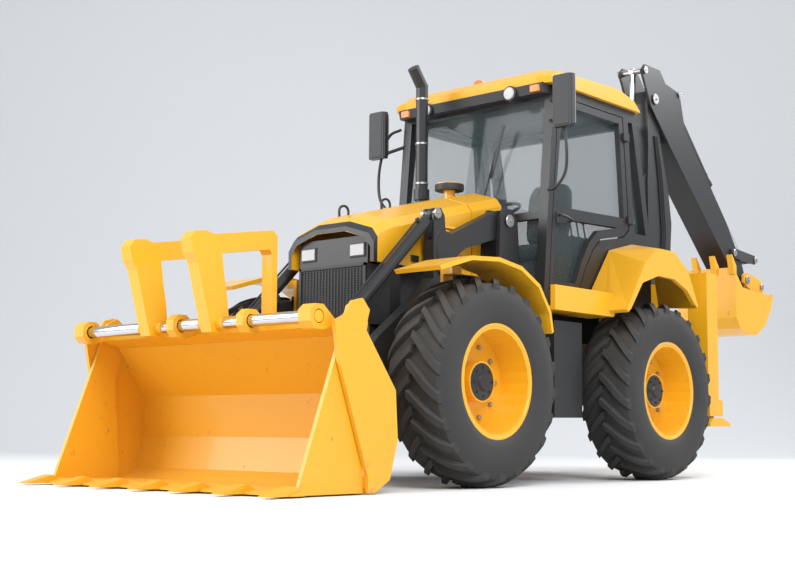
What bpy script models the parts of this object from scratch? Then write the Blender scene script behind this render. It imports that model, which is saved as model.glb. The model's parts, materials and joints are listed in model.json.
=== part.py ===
"""Backhoe loader: wheeled tractor with a clamshell loader bucket, flip-over forks and a side-shift digging arm.

Lengths are metres, +X forward, +Y left, +Z up. Shapes are written in the axle frame, whose x = 0 is the rear axle;
the empty "machine" then moves everything so that the origin is under the middle of the machine.
"""

import math

import bmesh
import bpy
from mathutils import Matrix, Vector

# ---- driving dimensions -------------------------------------------------------------------------------------------
REAR_AXLE_X = -0.288  # where the rear axle stands in the part's own frame
WHEELBASE = 2.212
TYRE_RADIUS = 0.690
WHEEL_Y = 0.950  # middle of a tyre
RIM_RADIUS = 0.3715
KINGPIN_Y = 0.620
GAP = 0.0003  # between pieces that touch
CLEAR = 0.006  # between pieces that move past each other

ARM_Y = 0.497  # middle of a loader arm
ARM_HALF = 0.046
ARM_PIVOT = (1.330, 1.915)  # x, z
BUCKET_PIVOT = (3.130, 0.330)
BUCKET_HALF = 1.190
TILT_BASE = (2.120, 1.875)
TILT_EYE = (3.260, 0.800)
LIFT_BASE = (1.120, 0.740)
LIFT_EYE = (2.060, 1.484)
CLAM_PIVOT = (3.560, 1.060)
FORK_SHAFT = (3.845, 1.005)
FORK_MIDDLES = (-0.370, 0.220)  # y of the two forks

HOOD_HALF = 0.410
HOOD_HINGE = (1.556, 2.122)
CAB_HALF = 0.750
DOOR_HINGE_LOW = (-0.100, 2.000)  # x, z on the rear door post
DOOR_HINGE_HIGH = (-0.020, 2.920)
DOOR_HINGE_Y = 0.768

POST_Y = 0.930  # middle of a stabiliser post
SWING_X = -1.300
BOOM_FOOT = (-1.560, 1.000)
BOOM_RAM = ((-1.435, 1.340), (-1.390, 2.420))  # base eye on the kingpost, rod eye on the boom
DIPPER_PIVOT = (-1.600, 3.495)
DIPPER_RAM = ((-1.340, 2.600), (-1.428, 3.741))  # base eye on the boom, rod eye on the dipper
DIPPER_TIP = (-3.300, 1.930)
LINK_PIVOT = (-3.100, 2.190)
LINK_NOSE = (-3.560, 2.160)
HOE_RAM = ((-2.068, 3.636), LINK_NOSE)  # base eye on the dipper's head plates

YELLOW = ((0.800, 0.420, 0.015), 0.40, 0.0)
BLACK = ((0.020, 0.021, 0.023), 0.45, 0.0)
RUBBER = ((0.030, 0.031, 0.033), 0.85, 0.0)
STEEL = ((0.600, 0.600, 0.610), 0.25, 1.0)
GLASS = ((0.300, 0.430, 0.500), 0.05, 0.0)
CLOTH = ((0.080, 0.090, 0.095), 0.90, 0.0)
CAST = ((0.060, 0.060, 0.062), 0.60, 0.4)


# ---- scene and materials ------------------------------------------------------------------------------------------
def clear_scene():
    for old in list(bpy.data.objects):
        bpy.data.objects.remove(old, do_unlink=True)


def material(name, finish):
    """A Principled material with a colour, a roughness and a metallic value."""
    colour, roughness, metallic = finish
    made = bpy.data.materials.new(name)
    made.use_nodes = True
    shader = made.node_tree.nodes["Principled BSDF"]
    shader.inputs["Base Color"].default_value = (*colour, 1.0)
    shader.inputs["Roughness"].default_value = roughness
    shader.inputs["Metallic"].default_value = metallic
    made.diffuse_color = (*colour, 1.0)
    return made


# ---- solids as bmeshes, in the axle frame -------------------------------------------------------------------------
def turned_out(bm):
    bmesh.ops.recalc_face_normals(bm, faces=bm.faces)
    return bm


def loft(rings):
    """Joins closed rings of points, each with the same count, and caps both ends."""
    bm = bmesh.new()
    made = [[bm.verts.new(point) for point in ring] for ring in rings]
    count = len(rings[0])
    for ring, following in zip(made, made[1:]):
        for i in range(count):
            j = (i + 1) % count
            bm.faces.new((ring[i], ring[j], following[j], following[i]))
    bm.faces.new(made[0])
    bm.faces.new(made[-1])
    return turned_out(bm)


def prism(outline, low, high, axis="y"):
    """A flat outline pushed from low to high. It holds (x, z) for axis y, (y, z) for axis x and (x, y) for axis z."""
    def at(a, b, level):
        return {"x": (level, a, b), "y": (a, level, b), "z": (a, b, level)}[axis]

    return loft([[at(a, b, level) for a, b in outline] for level in (low, high)])


def box(x, y, z):
    return prism([(x[0], z[0]), (x[1], z[0]), (x[1], z[1]), (x[0], z[1])], y[0], y[1])


def bar(start, end, radius, sides=12, end_radius=None):
    """A round bar, or a cone, from start to end."""
    start, end = Vector(start), Vector(end)
    turn = (end - start).to_track_quat("Z", "Y").to_matrix()
    rings = []
    for centre, size in ((start, radius), (end, end_radius or radius)):
        angles = [2 * math.pi * (i + 0.5) / sides for i in range(sides)]
        rings.append([centre + turn @ Vector((size * math.cos(a), size * math.sin(a), 0)) for a in angles])
    return loft(rings)


def turned(profile, centre, steps=28):
    """A closed profile of (radius, y offset) points turned about a Y axis through centre = (x, y, z)."""
    bm = bmesh.new()
    points = [bm.verts.new((0, across, -radius)) for radius, across in profile]
    edges = [bm.edges.new((a, b)) for a, b in zip(points, points[1:] + points[:1])]
    bmesh.ops.spin(bm, geom=points + edges, cent=(0, 0, 0), axis=(0, 1, 0), angle=2 * math.pi, steps=steps,
                   use_merge=True)
    bmesh.ops.remove_doubles(bm, verts=bm.verts, dist=0.00001)
    bmesh.ops.transform(bm, matrix=Matrix.Translation(centre), verts=bm.verts)
    return turned_out(bm)


def along(start, end, profile, half_width, middle=0.0):
    """A flat bar in the XZ plane: profile holds (distance along, distance up) from start towards end, both (x, z)."""
    reach = math.dist(start, end)
    ux, uz = (end[0] - start[0]) / reach, (end[1] - start[1]) / reach
    side = 1.0 if ux >= 0 else -1.0
    outline = [(start[0] + u * ux - side * n * uz, start[1] + u * uz + side * n * ux) for u, n in profile]
    return prism(outline, middle - half_width, middle + half_width)


def eye(centre, radius, half_width, middle=0.0, sides=12):
    """A round boss with its axis along Y at centre = (x, z)."""
    return bar((centre[0], middle - half_width, centre[1]), (centre[0], middle + half_width, centre[1]), radius, sides)


# ---- objects ------------------------------------------------------------------------------------------------------
def object_of(bm, name, pivot):
    """A mesh object whose origin is at pivot, in the axle frame."""
    bmesh.ops.transform(bm, matrix=Matrix.Translation(-Vector(pivot)), verts=bm.verts)
    mesh = bpy.data.meshes.new(name)
    bm.to_mesh(mesh)
    bm.free()
    return bpy.data.objects.new(name, mesh)


def combine(owner, solids, operation, pivot):
    """A Boolean on owner with hidden helper objects that hold the solids."""
    step = f"{owner.name}_{len(owner.modifiers)}"
    helpers = bpy.data.collections.new(step)
    bpy.context.scene.collection.children.link(helpers)
    helpers.hide_render = True
    for i, solid in enumerate(solids):
        helper = object_of(solid, f"{step}_{i}", pivot)
        helper.hide_render = True
        helper.display_type = "WIRE"
        helper.parent = owner
        helpers.objects.link(helper)
    modifier = owner.modifiers.new(operation.title(), "BOOLEAN")
    modifier.operation = operation
    modifier.operand_type = "COLLECTION"
    modifier.collection = helpers
    modifier.solver = "EXACT"


def piece(name, finish, solids, cuts=(), adds=(), pivot=(0, 0, 0), parent=None, smooth=False):
    """One named sub-part: the solids joined, the cuts taken out, adds joined on, its origin at pivot, on parent."""
    made = object_of(solids[0], name, pivot)
    bpy.context.scene.collection.objects.link(made)
    made.data.materials.append(material(name, finish))
    if len(solids) > 1:
        combine(made, solids[1:], "UNION", pivot)
    if cuts:
        combine(made, cuts, "DIFFERENCE", pivot)
    if adds:
        combine(made, adds, "UNION", pivot)
    made.parent = parent or MACHINE
    made["pivot"] = pivot
    base = parent["pivot"] if parent else (0, 0, 0)
    made.location = Vector(pivot) - Vector(base)
    if smooth:
        made.data.shade_smooth()
        made.data.set_sharp_from_angle(angle=math.radians(40))
    return made


clear_scene()
MACHINE = bpy.data.objects.new("machine", None)
bpy.context.scene.collection.objects.link(MACHINE)
MACHINE.location = (REAR_AXLE_X, 0, 0)
SIDES = {"left": 1, "right": -1}


def both(side, low, high):
    """The y range on one side of the machine, given as on the left side."""
    return (low, high) if side > 0 else (-high, -low)


# ---- chassis, axles and engine ------------------------------------------------------------------------------------
RAIL_Z = (0.860, 1.080)
CAB_FLOOR = 1.300
CAB_REAR_FLOOR = 1.395  # above the rear tyres


def chassis():
    """Rails, cross members, cab rests, the towers that hold the loader arms, and the tank and battery steps."""
    tower = [(1.02, 0.60), (1.50, 0.60), (1.47, 1.35), (1.43, 1.93), (1.38, 2.005), (1.28, 2.005), (1.22, 1.93),
             (1.17, 1.28), (1.02, 1.13)]
    solids = [box((2.300, 2.500), (-0.40, 0.40), RAIL_Z), box((-0.860, -0.700), (-0.40, 0.40), (0.60, 1.60))]
    solids.append(box((0.960, 1.500), (-0.38, 0.38), RAIL_Z))
    for low, high, top in ((-0.350, -0.200, CAB_REAR_FLOOR), (0.620, 0.750, CAB_FLOOR)):
        solids.append(box((low, high), (-0.38, 0.38), (1.000, top - GAP)))
    for side in SIDES.values():
        solids.append(box((-0.800, 2.450), both(side, 0.280, 0.400), RAIL_Z))
        solids.append(box((1.020, 1.500), both(side, 0.411, 0.583), (0.580, 0.640)))
        solids.append(box((1.030, 1.200), both(side, 0.390, 0.430), (0.870, 1.070)))
        for low, high in ((HOOD_HALF + GAP, 0.443), (0.551, 0.583)):
            solids.append(prism(tower, *both(side, low, high)))
        solids.append(box((0.880, 1.240), both(side, 0.575, 0.920), (0.470, 1.170)))
    return piece("chassis", BLACK, solids)


def axle(name, x):
    """A drive axle: tube, differential, the pedestal that carries the frame, and a fork at each kingpin."""
    z = TYRE_RADIUS
    solids = [bar((x, -0.50, z), (x, 0.50, z), 0.095, 12)]
    solids.append(bar((x, -0.16, z), (x, 0.16, z), 0.190, 14))
    solids.append(box((x - 0.12, x + 0.12), (-0.38, 0.38), (z + 0.02, RAIL_Z[0] - GAP)))
    for side in SIDES.values():
        solids.append(box((x - 0.070, x + 0.070), both(side, 0.450, 0.530), (0.500, 0.880)))
        for low in (0.500, 0.840):
            solids.append(box((x - 0.060, x + 0.060), both(side, 0.500, KINGPIN_Y), (low, low + 0.040)))
            solids.append(bar((x, side * KINGPIN_Y, low), (x, side * KINGPIN_Y, low + 0.040), 0.065, 12))
    return piece(name, CAST, solids)


def engine():
    return piece("engine", CAST, [box((1.600, 2.300), (-0.300, 0.300), (RAIL_Z[1] + GAP, 1.700))])


# ---- wheels -------------------------------------------------------------------------------------------------------
TYRE_PROFILE = [  # radius, y offset from the tyre's middle
    (RIM_RADIUS + GAP, -0.188), (0.450, -0.215), (0.600, -0.220), (0.668, -0.195), (0.690, -0.160),
    (0.690, 0.160), (0.668, 0.195), (0.600, 0.220), (0.450, 0.215), (RIM_RADIUS + GAP, 0.188),
]
RIM_PROFILE = [  # radius, y offset, from the hub's inner face out to the hub cap
    (0.0, -0.155), (0.140, -0.155), (0.140, -0.080), (0.345, -0.080), (0.345, -0.188), (RIM_RADIUS, -0.188),
    (RIM_RADIUS, 0.188), (0.345, 0.188), (0.330, -0.030), (0.135, -0.030), (0.135, 0.064), (0.0, 0.064),
]


def wheel(corner, x, side):
    """Steering knuckle, rim with its hub, and tyre at one corner."""
    z = TYRE_RADIUS
    pivot = (x, side * KINGPIN_Y, z)
    stub = [bar((x, side * KINGPIN_Y, 0.546), (x, side * KINGPIN_Y, 0.834), 0.075, 12)]
    stub.append(bar((x, side * KINGPIN_Y, z), (x, side * 0.788, z), 0.100, 12))
    knuckle = piece(f"knuckle_{corner}", CAST, stub, pivot=pivot)
    centre = (x, side * WHEEL_Y, z)
    rim_profile = [(radius, side * across) for radius, across in RIM_PROFILE]
    rim = piece(f"rim_{corner}", YELLOW, [turned(rim_profile, centre)], pivot=centre, parent=knuckle, smooth=True)
    piece(f"tyre_{corner}", RUBBER, [turned(TYRE_PROFILE, centre)], pivot=centre, parent=rim, smooth=True)
    return knuckle


FENDER_ARC = [  # x, z from the front wheel's centre, along the fender's outer skin
    (0.620, 0.700), (0.300, 0.795), (0.000, 0.815), (-0.250, 0.780), (-0.460, 0.675), (-0.590, 0.500),
    (-0.620, 0.360),
]


def front_fender(name, side, knuckle):
    """A bent skin over the front tyre on a post that stands on the knuckle."""
    skin = FENDER_ARC + [(x * 0.965, z * 0.965) for x, z in reversed(FENDER_ARC)]
    placed = [(WHEELBASE + x, TYRE_RADIUS + z) for x, z in skin]
    solids = [prism(placed, *both(side, 0.780, 1.160))]
    post = [(WHEELBASE - 0.05, 0.700), (WHEELBASE + 0.05, 0.700), (WHEELBASE + 0.05, 1.470), (WHEELBASE - 0.05, 1.470)]
    solids.append(prism(post, *both(side, 0.697, 0.722)))
    solids.append(box((WHEELBASE - 0.05, WHEELBASE + 0.05), both(side, 0.697, 0.800), (1.420, 1.478)))
    centre = (WHEELBASE, side * KINGPIN_Y, TYRE_RADIUS)
    cut = [bar((WHEELBASE, side * 0.6, TYRE_RADIUS), (WHEELBASE, side * 0.8, TYRE_RADIUS), 0.1 + GAP / 0.96, 12)]
    piece(name, YELLOW, solids, cuts=cut, pivot=centre, parent=knuckle)


REAR_SKIN_INNER = [(0.64, 1.28), (0.24, 1.80), (-0.10, 1.885), (-0.30, 1.86), (-0.46, 1.70), (-0.54, 1.42)]
REAR_SKIN_OUTER = [(0.63, 1.28), (0.36, 1.66), (0.14, 1.79), (-0.08, 1.79), (-0.30, 1.66), (-0.455, 1.39)]
REAR_ARCH = [(-0.41, 1.39), (-0.28, 1.50), (-0.08, 1.57), (0.16, 1.575), (0.40, 1.50), (0.58, 1.28)]


def shrunk(points, shift):
    """The outline pulled towards the wheel's centre by a share of its distance."""
    return [(x * (1 - shift), TYRE_RADIUS + (z - TYRE_RADIUS) * (1 - shift)) for x, z in points]


def rear_fender(name, side):
    """A rounded skin over the rear tyre, its side face above the arch, and the sill panel ahead of it."""
    rings = []
    for y, points in ((CAB_HALF + 0.012, REAR_SKIN_INNER), (1.160, REAR_SKIN_OUTER)):
        band = points + list(reversed(shrunk(points, 0.035)))
        rings.append([(x, side * y, z) for x, z in band])
    solids = [loft(rings), prism(REAR_SKIN_OUTER + REAR_ARCH, *both(side, 1.125, 1.160))]
    solids.append(box((0.560, 1.340), both(side, 0.960, 1.000), (1.235, 1.415)))
    solids.append(box((0.530, 1.340), both(side, CAB_HALF + 0.012, 0.990), (1.235, 1.265)))
    solids.append(box((-0.320, -0.120), both(side, CAB_HALF + GAP, 0.800), (1.815, 1.835)))
    steered_tyre = box((0.515, 0.556), both(side, 0.900, 1.010), (1.220, 1.250))
    return piece(name, YELLOW, solids, cuts=[steered_tyre])


# ---- hood, cowl, grille, exhaust ----------------------------------------------------------------------------------
def crown(x):
    """Height of the hood's middle at x."""
    return 2.165 - 0.25 * (x - 1.310)


def hood_ring(x, drop, low):
    """One inverted-U section of the hood: outside, then inside."""
    top = crown(x) - drop
    half = HOOD_HALF
    skin = 0.030
    outside = [(-half, low), (-half, top - 0.13), (-half + 0.05, top - 0.065), (-0.15, top), (0.15, top),
               (half - 0.05, top - 0.065), (half, top - 0.13), (half, low)]
    inside = [(half - skin, low), (half - skin, top - 0.14), (half - 0.07, top - 0.095), (0.14, top - skin),
              (-0.14, top - skin), (-half + 0.07, top - 0.095), (-half + skin, top - 0.14), (-half + skin, low)]
    return [(x, y, z) for y, z in outside + inside]


def hood():
    rings = [hood_ring(x, drop, 1.500) for x, drop in ((1.560, 0.0), (2.450, 0.005), (2.560, 0.030), (2.620, 0.080))]
    pivot = (HOOD_HINGE[0], 0, HOOD_HINGE[1])
    return piece("hood", YELLOW, [loft(rings)], pivot=pivot)


def rear_cowl():
    """The fixed hood section that carries the pre-cleaner and lets the exhaust through."""
    rings = [hood_ring(x, 0.0, 1.500) for x in (1.190, 1.548)]
    neck = bar((1.310, 0, 2.120), (1.310, 0, 2.215), 0.045, 12)
    cap = bar((1.310, 0, 2.215), (1.310, 0, 2.265), 0.110, 12)
    hole = bar((*STACK, 1.900), (*STACK, 2.300), 0.048 + GAP, 12)
    return piece("rear_cowl", YELLOW, [loft(rings), neck, cap], cuts=[hole])


def grille():
    """The black nose: a plan outline with cut corners, open behind, and the panel under the hood's front."""
    plan = [(2.340, -0.405), (2.450, -0.405), (2.590, -0.330), (2.590, 0.330), (2.450, 0.405), (2.340, 0.405),
            (2.340, 0.365), (2.440, 0.365), (2.555, 0.300), (2.555, -0.300), (2.440, -0.365), (2.340, -0.365)]
    solids = [prism(plan, RAIL_Z[1] + GAP, 1.490, "z"), box((2.540, 2.588), (-0.325, 0.325), (1.200, 1.690))]
    solids.append(box((2.510, 2.570), (-0.330, 0.330), (RAIL_Z[0], 1.120)))
    return piece("grille", BLACK, solids)


STACK = (1.290, -0.300)  # x, y of the exhaust


def exhaust():
    """The stack beside the hood, with its bevelled bent tip."""
    x, y = STACK
    solids = [bar((x, y, 1.720), (x, y, 3.110), 0.048, 12)]
    solids.append(bar((x, y, 3.090), (x + 0.110, y, 3.225), 0.048, 12))
    solids.append(bar((x, y, 2.175), (x, y, 2.260), 0.062, 12))
    return piece("exhaust", BLACK, solids, smooth=True)


# ---- cab ----------------------------------------------------------------------------------------------------------
CAB_OUTSIDE = [(1.130, CAB_FLOOR), (0.975, 3.000), (-0.205, 3.000), (-0.420, 1.950), (-0.420, CAB_REAR_FLOOR),
               (0.560, CAB_REAR_FLOOR), (0.600, CAB_FLOOR)]
CAB_INSIDE = [(1.070, 1.360), (0.920, 2.950), (-0.160, 2.950), (-0.360, 1.940), (-0.360, 1.455), (0.600, 1.455),
              (0.640, 1.360)]
DOOR_OPENING = [(1.060, 1.420), (0.920, 2.925), (-0.010, 2.925), (-0.090, 2.000), (0.000, 1.930), (0.340, 1.870),
                (0.450, 1.780), (0.560, 1.620), (0.660, 1.420)]
DOOR_PANEL = [(1.052, 1.428), (0.913, 2.917), (0.002, 2.917), (-0.077, 2.008), (0.004, 1.940), (0.346, 1.879),
              (0.457, 1.786), (0.568, 1.625), (0.665, 1.428)]
DOOR_GLASS_HIGH = [(0.970, 2.060), (0.860, 2.860), (0.055, 2.860), (-0.010, 2.090)]
DOOR_GLASS_LOW = [(0.990, 1.490), (0.965, 1.970), (0.080, 2.000), (0.370, 1.945), (0.510, 1.830), (0.620, 1.660),
                  (0.705, 1.490)]
DOOR_PANE = [(1.020, 1.455), (0.885, 2.890), (0.030, 2.890), (-0.045, 2.040), (0.020, 1.975), (0.360, 1.910),
             (0.480, 1.805), (0.590, 1.645), (0.685, 1.455)]
QUARTER_OPENING = [(-0.085, 2.900), (-0.150, 2.900), (-0.345, 1.985), (-0.165, 1.985)]


def cab_frame():
    """A hollow shell 60 mm thick with its openings, the mirrors, and the column, consoles and pedestal inside."""
    solids = [prism(CAB_OUTSIDE, -CAB_HALF, CAB_HALF)]
    for side in SIDES.values():
        solids.append(bar((0.985, side * 0.72, 2.720), (1.120, side * 0.92, 2.640), 0.014, 8))
        solids.append(box((1.080, 1.140), both(side, 0.850, 1.010), (2.620, 3.000)))
    cuts = [prism(CAB_INSIDE, -CAB_HALF + 0.060, CAB_HALF - 0.060)]
    cuts.append(prism(DOOR_OPENING, -0.80, 0.80))
    cuts.append(prism(QUARTER_OPENING, -0.80, 0.80))
    cuts.append(box((0.80, 1.30), (-0.670, 0.670), (2.020, 2.900)))
    cuts.append(box((0.80, 1.30), (-0.670, 0.670), (1.420, 1.960)))
    cuts.append(box((-0.60, -0.13), (-0.660, 0.660), (1.985, 2.880)))
    column = [(1.000, 1.340), (0.760, 1.340), (0.700, 1.980), (0.760, 2.060), (0.900, 2.080), (0.940, 2.000)]
    adds = [prism(column, -0.160, 0.160), box((0.020, 0.380), (-0.200, 0.200), (1.420, 1.745))]
    for side in SIDES.values():
        adds.append(box((-0.150, 0.420), both(side, 0.330, 0.520), (1.420, 1.920)))
    return piece("cab_frame", BLACK, solids, cuts=cuts, adds=adds)


def seat():
    outline = [(-0.060, 1.7455), (0.440, 1.7455), (0.460, 1.860), (0.080, 1.900), (-0.060, 2.480), (-0.170, 2.470),
               (-0.080, 1.850)]
    return piece("seat", CLOTH, [prism(outline, -0.240, 0.240)])


def cab_roof():
    outer = [(1.040, 3.0003), (1.050, 3.045), (0.980, 3.095), (0.100, 3.130), (-0.130, 3.080), (-0.230, 3.0003)]
    inner = [(1.070, 3.0003), (1.085, 3.060), (1.000, 3.120), (0.100, 3.160), (-0.150, 3.110), (-0.260, 3.0003)]
    rings = [(-0.785, outer), (-0.660, inner), (0.660, inner), (0.785, outer)]
    return piece("cab_roof", YELLOW, [loft([[(x, y, z) for x, z in points] for y, points in rings])])


def windscreen():
    pane = [(1.0659, 1.400), (0.9216, 2.930), (0.9136, 2.930), (1.0579, 1.400)]
    return piece("windscreen", GLASS, [prism(pane, -0.684, 0.684)])


def rear_glass():
    """The rear pane and both quarter panes, bonded at their corners."""
    rear = [(-0.3535, 1.970), (-0.1685, 2.905), (-0.1605, 2.905), (-0.3455, 1.970)]
    quarter = [(-0.050, 2.905), (-0.1680, 2.905), (-0.3530, 1.970), (-0.130, 1.970)]
    solids = [prism(rear, -0.6897, 0.6897)]
    for side in SIDES.values():
        solids.append(prism(quarter, *both(side, 0.6815, 0.6895)))
    return piece("rear_glass", GLASS, solids)


def door(name, side):
    """A door leaf with its two windows cut, and the pane behind them, hinged on the rear post."""
    low, high = DOOR_HINGE_LOW, DOOR_HINGE_HIGH
    pivot = (low[0], side * DOOR_HINGE_Y, low[1])
    cuts = [prism(outline, -0.8, 0.8) for outline in (DOOR_GLASS_HIGH, DOOR_GLASS_LOW)]
    leaf = piece(name, BLACK, [prism(DOOR_PANEL, *both(side, 0.705, CAB_HALF))], cuts=cuts, pivot=pivot)
    piece(f"{name}_glass", GLASS, [prism(DOOR_PANE, *both(side, 0.6975, 0.7047))], pivot=pivot, parent=leaf)


# ---- loader -------------------------------------------------------------------------------------------------------
ARM_OUTLINE = [
    (1.265, 1.960), (1.330, 2.000), (1.420, 1.985), (1.960, 1.745), (2.020, 1.765), (2.030, 1.870), (2.070, 1.920),
    (2.120, 1.915), (2.150, 1.870), (2.150, 1.420), (2.350, 1.245), (2.700, 0.990), (2.980, 0.720), (3.180, 0.400),
    (3.200, 0.330), (3.170, 0.270), (3.100, 0.260), (3.050, 0.300), (2.860, 0.520), (2.480, 0.900), (2.120, 1.180),
    (1.980, 1.340), (1.955, 1.550), (1.800, 1.660), (1.380, 1.790), (1.270, 1.850),
]


def loader_arms():
    """Two cranked arms joined by a cross tube, slotted where the cylinders' eyes go."""
    solids = []
    cuts = []
    for side in SIDES.values():
        solids.append(prism(ARM_OUTLINE, *both(side, ARM_Y - ARM_HALF, ARM_Y + ARM_HALF)))
        slot = both(side, ARM_Y - 0.029, ARM_Y + 0.029)
        cuts.append(box((2.020, 2.300), slot, (1.690, 2.000)))
        cuts.append(box((1.850, 2.120), slot, (1.150, 1.560)))
    solids.append(bar((2.780, -ARM_Y, 0.800), (2.780, ARM_Y, 0.800), 0.060, 12))
    return piece("loader_arms", BLACK, solids, cuts=cuts, pivot=(ARM_PIVOT[0], 0, ARM_PIVOT[1]))


def ram(name, ends, middle, barrel_to, rod_from, radii, owner):
    """A cylinder in the XZ plane at y = middle: the barrel hinges at its base eye, the rod slides out to its own.

    ends holds the base eye and the rod eye as (x, z). barrel_to and rod_from are distances from the base eye.
    """
    base, tip = ends
    reach = math.dist(base, tip)
    ux, uz = (tip[0] - base[0]) / reach, (tip[1] - base[1]) / reach
    barrel_radius, rod_radius = radii

    def on_axis(distance):
        return (base[0] + ux * distance, middle, base[1] + uz * distance)

    closed_end = barrel_radius + 0.045
    shell = [bar(on_axis(closed_end), on_axis(barrel_to), barrel_radius, 12)]
    shell.append(bar(on_axis(0.020), on_axis(closed_end + 0.010), 0.020, 8))
    shell.append(eye(base, 0.040, 0.021, middle, 10))
    bore = [bar(on_axis(closed_end + 0.020), on_axis(barrel_to + 0.010), rod_radius + 0.004, 12)]
    pivot = (base[0], middle, base[1])
    barrel = piece(name.replace("*", "barrel"), BLACK, shell, cuts=bore, pivot=pivot, parent=owner)
    shaft = [bar(on_axis(rod_from), on_axis(reach - 0.020), rod_radius, 12), eye(tip, 0.040, 0.021, middle, 10)]
    piece(name.replace("*", "rod"), STEEL, shaft, pivot=pivot, parent=barrel)


BUCKET_PLATE = [
    (3.790, 0.980), (3.700, 1.020), (3.640, 1.105), (3.560, 1.125), (3.500, 1.060), (3.534, 0.950), (3.268, 0.604),
    (3.247, 0.312), (3.315, 0.081), (3.443, 0.010), (3.500, 0.010), (3.504, 0.108), (3.746, 0.747),
]
MOULDBOARD = [
    (3.735, 0.985), (3.700, 0.990), (3.534, 0.950), (3.268, 0.604), (3.247, 0.312), (3.315, 0.081), (3.443, 0.010),
    (3.500, 0.010), (3.500, 0.036), (3.452, 0.036), (3.338, 0.102), (3.275, 0.318), (3.295, 0.592), (3.550, 0.915),
    (3.700, 0.957), (3.735, 0.955),
]
BUCKET_WEB = [
    (3.268, 0.604), (3.247, 0.312), (3.315, 0.081), (3.443, 0.010), (3.452, 0.036), (3.338, 0.102), (3.275, 0.318),
    (3.295, 0.592), (3.450, 0.790), (3.430, 0.815),
]
BUCKET_LUG = [
    (3.440, 0.800), (3.300, 0.850), (3.230, 0.840), (3.200, 0.790), (3.060, 0.360), (3.070, 0.290), (3.130, 0.260),
    (3.300, 0.160), (3.262, 0.318), (3.280, 0.598),
]
SHAFT_RING = [
    (3.690, 0.975), (3.710, 0.962), (3.810, 0.930), (3.880, 0.935), (3.915, 0.975), (3.915, 1.040), (3.875, 1.075),
    (3.810, 1.075),
]


def bucket(arms):
    """The rear half of the clamshell: mouldboard, side plates, lugs for arms and cylinders, fork shaft rings."""
    x, z = FORK_SHAFT
    solids = [prism(MOULDBOARD, -1.124, 1.124)]
    cuts = [bar((x, -1.3, z), (x, 1.3, z), 0.042, 12)]
    for side in SIDES.values():
        solids.append(prism(BUCKET_PLATE, *both(side, 1.163, BUCKET_HALF)))
        solids.append(prism(BUCKET_WEB, *both(side, 1.110, 1.180)))
        for low, high in ((0.416, 0.443), (0.551, 0.578)):
            solids.append(prism(BUCKET_LUG, *both(side, low, high)))
    for low, high in ((-1.120, -1.020), (-0.150, -0.080), (0.500, 0.560), (1.020, 1.120)):
        solids.append(prism(SHAFT_RING, low, high))
    return piece("bucket", YELLOW, solids, cuts=cuts, pivot=(BUCKET_PIVOT[0], 0, BUCKET_PIVOT[1]), parent=arms)


CLAM_PLATE = [
    (4.036, 0.012), (3.754, 0.758), (3.640, 1.080), (3.560, 1.120), (3.490, 1.070), (3.480, 0.980), (3.560, 0.700),
    (3.512, 0.100), (3.520, 0.012),
]


def clam(owner):
    """The front half: side plates inside the bucket's, the floor with its cutting edge, and seven teeth."""
    solids = [box((3.506, 4.040), (-1.157, 1.157), (0.010, 0.038))]
    solids.append(prism([(4.000, 0.010), (4.000, 0.044), (4.110, 0.020), (4.110, 0.010)], -BUCKET_HALF, BUCKET_HALF))
    for side in SIDES.values():
        solids.append(prism(CLAM_PLATE, *both(side, 1.130, 1.157)))
    tooth = [(4.020, 0.0395), (4.070, 0.064), (4.256, 0.016), (4.256, 0.0105), (4.060, 0.0105)]
    for i in range(7):
        middle = -1.135 + i * 2.270 / 6
        solids.append(prism(tooth, middle - 0.045, middle + 0.045))
    return piece("clam", YELLOW, solids, pivot=(CLAM_PIVOT[0], 0, CLAM_PIVOT[1]), parent=owner)


SHANK = [
    (3.900, 0.950), (3.925, 1.020), (4.020, 1.360), (4.060, 1.420), (4.080, 1.500), (4.040, 1.550), (3.960, 1.560),
    (3.900, 1.545), (3.410, 1.625), (3.370, 1.590), (3.370, 0.930), (3.410, 0.930), (3.415, 1.470), (3.440, 1.500),
    (3.830, 1.435), (3.810, 1.300), (3.780, 1.150), (3.765, 1.020), (3.800, 0.940),
]


def forks(owner):
    """Two folded forks, fixed on the shaft along the bucket's top."""
    x, z = FORK_SHAFT
    solids = [bar((x, -1.118, z), (x, 1.118, z), 0.036, 12)]
    for middle in FORK_MIDDLES:
        solids.append(prism(SHANK, middle - 0.048, middle + 0.048))
    return piece("forks", BLACK, solids, pivot=(x, 0, z), parent=owner)


# ---- digging arm --------------------------------------------------------------------------------------------------
POST_X = (-1.050, -0.870)
RAIL_FACE = -1.020


def rear_frame():
    """Two cross beams on the chassis, and a square post at each end that the stabiliser legs slide in."""
    solids = [box((RAIL_FACE, -0.860 - GAP), (-0.38, 0.38), (0.640, 1.590))]
    cuts = []
    for low, high in ((0.650, 0.850), (1.450, 1.650)):
        solids.append(box((RAIL_FACE, -0.930), (-0.90, 0.90), (low, high)))
    for side in SIDES.values():
        solids.append(box(POST_X, both(side, 0.840, 1.020), (0.600, 1.710)))
        solids.append(box((-1.080, -0.850), both(side, 0.820, 1.040), (0.505, 0.640)))
        cuts.append(box((POST_X[0] + 0.028, POST_X[1] - 0.028), both(side, 0.868, 0.992), (0.40, 1.660)))
    return piece("rear_frame", BLACK, solids, cuts=cuts)


def leg(name, side):
    """A stabiliser leg: the square bar in its post and the flat pad."""
    solids = [box((-1.016, -0.904), both(side, 0.874, 0.986), (0.440, 1.600))]
    pad = [(-1.170, 0.420), (-0.815, 0.420), (-0.815, 0.445), (-0.880, 0.490), (-1.040, 0.490), (-1.170, 0.445)]
    solids.append(prism(pad, *both(side, 0.800, 1.060)))
    return piece(name, BLACK, solids, pivot=(-0.960, side * POST_Y, 0.440))


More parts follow.
